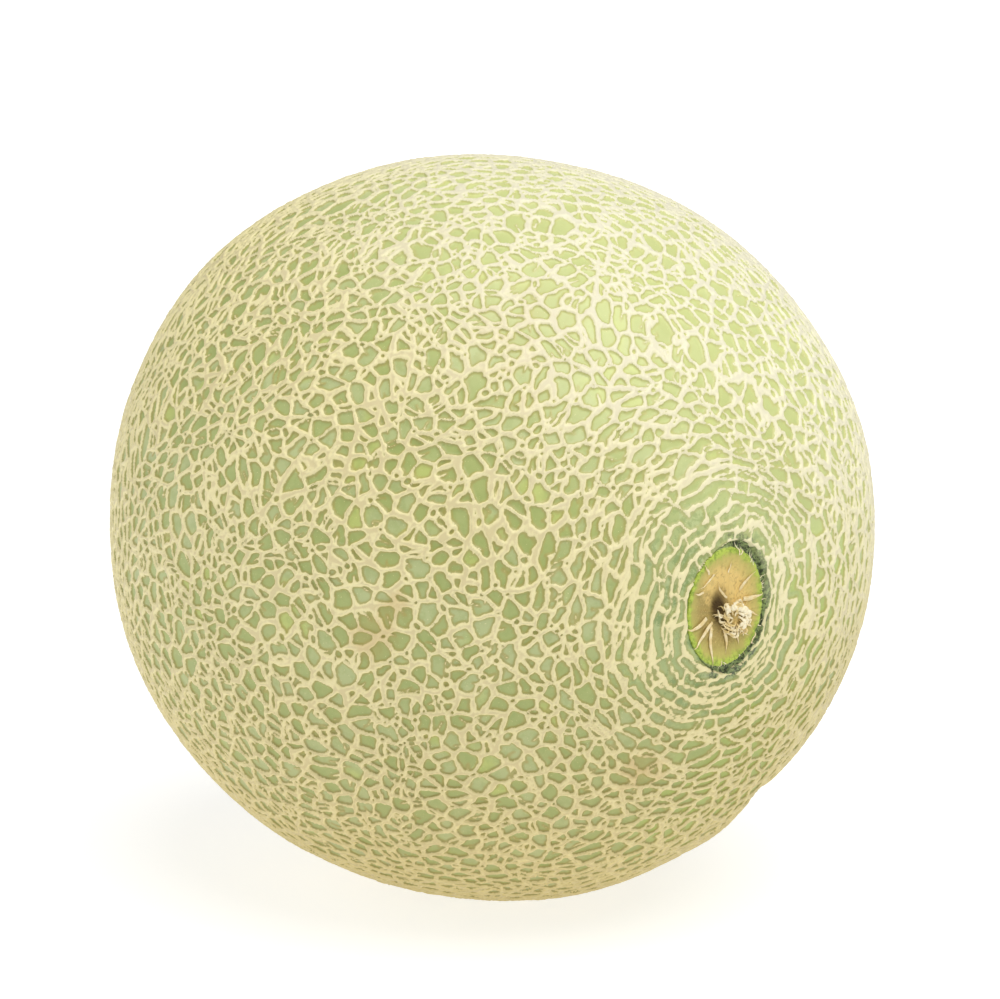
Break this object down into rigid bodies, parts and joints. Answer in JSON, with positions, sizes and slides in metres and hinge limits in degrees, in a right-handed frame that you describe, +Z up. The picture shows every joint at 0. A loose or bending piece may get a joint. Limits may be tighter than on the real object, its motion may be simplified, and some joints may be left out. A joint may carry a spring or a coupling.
{
  "type": "cantaloupe melon",
  "caption": "Whole netted melon lying on its side on a small flat spot, with a sunken stem scar at one end and a small blossom scar at the other.",
  "frame": {"origin": "on the surface the melon rests on, under the middle of its bounding box", "axes": "+Z up; the stem axis is level and runs along Y, stem scar facing -Y, blossom scar facing +Y"},
  "size_m": [0.1498, 0.1608, 0.1479],
  "materials": {
    "rind": "waxy green rind under a raised, matt, cream-coloured corky net",
    "stem_scar": "dry, fibrous and matt, tan to cream"
  },
  "bodies": {
    "root": {"melon": "rind"}
  },
  "joints": []
}
